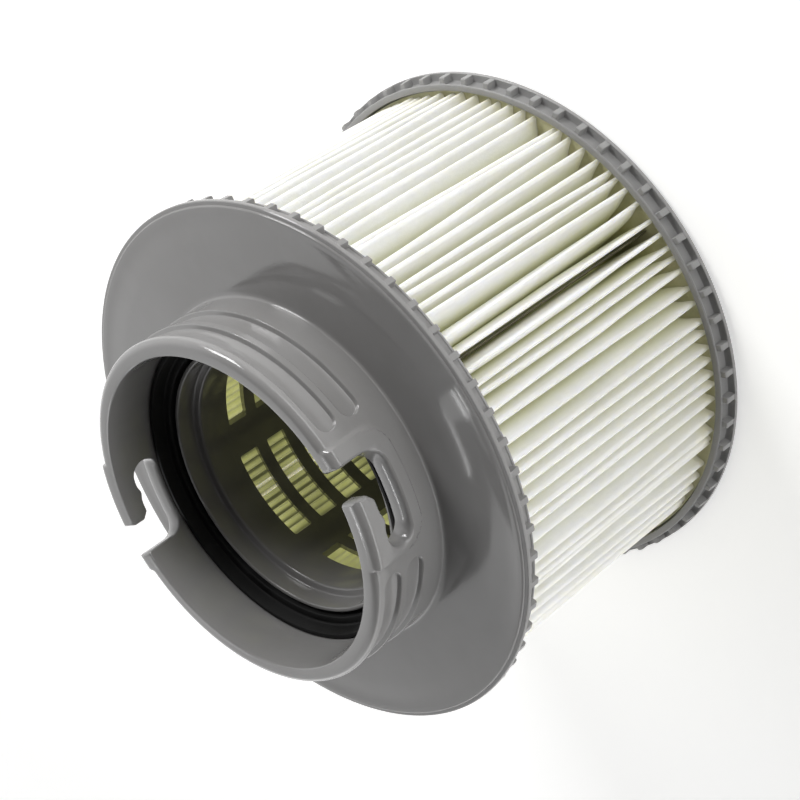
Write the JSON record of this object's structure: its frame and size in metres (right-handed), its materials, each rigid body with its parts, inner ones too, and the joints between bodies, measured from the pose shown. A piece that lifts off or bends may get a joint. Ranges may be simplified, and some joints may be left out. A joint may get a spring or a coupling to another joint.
{
  "type": "filter cartridge",
  "caption": "Short pleated filter cartridge with a closed grey end cap, a ribbed rim and a bayonet neck around a perforated core.",
  "frame": {"origin": "centre of the closed cap's outer face, which is the surface the cartridge stands on", "axes": "+Z along the cartridge's axis, from the closed cap to the neck; +Y through the middle of one bayonet slot's entry"},
  "size_m": [0.106, 0.106, 0.082],
  "materials": {
    "cap_plastic": "satin grey moulding",
    "neck_cap_plastic": "semi-gloss grey moulding",
    "core_plastic": "smooth grey moulding",
    "pleated_paper": "off-white non-woven filter paper",
    "seam_adhesive": "cured hot-melt",
    "bed_adhesive": "cured potting adhesive",
    "gasket_rubber": "black moulded rubber"
  },
  "bodies": {
    "root": {"closed_end_cap": "cap_plastic", "neck_end_cap": "neck_cap_plastic", "perforated_core": "core_plastic", "pleated_media": "pleated_paper", "media_seam_strip": "seam_adhesive", "closed_end_adhesive": "bed_adhesive", "neck_end_adhesive": "bed_adhesive", "neck_gasket": "gasket_rubber"}
  },
  "joints": []
}
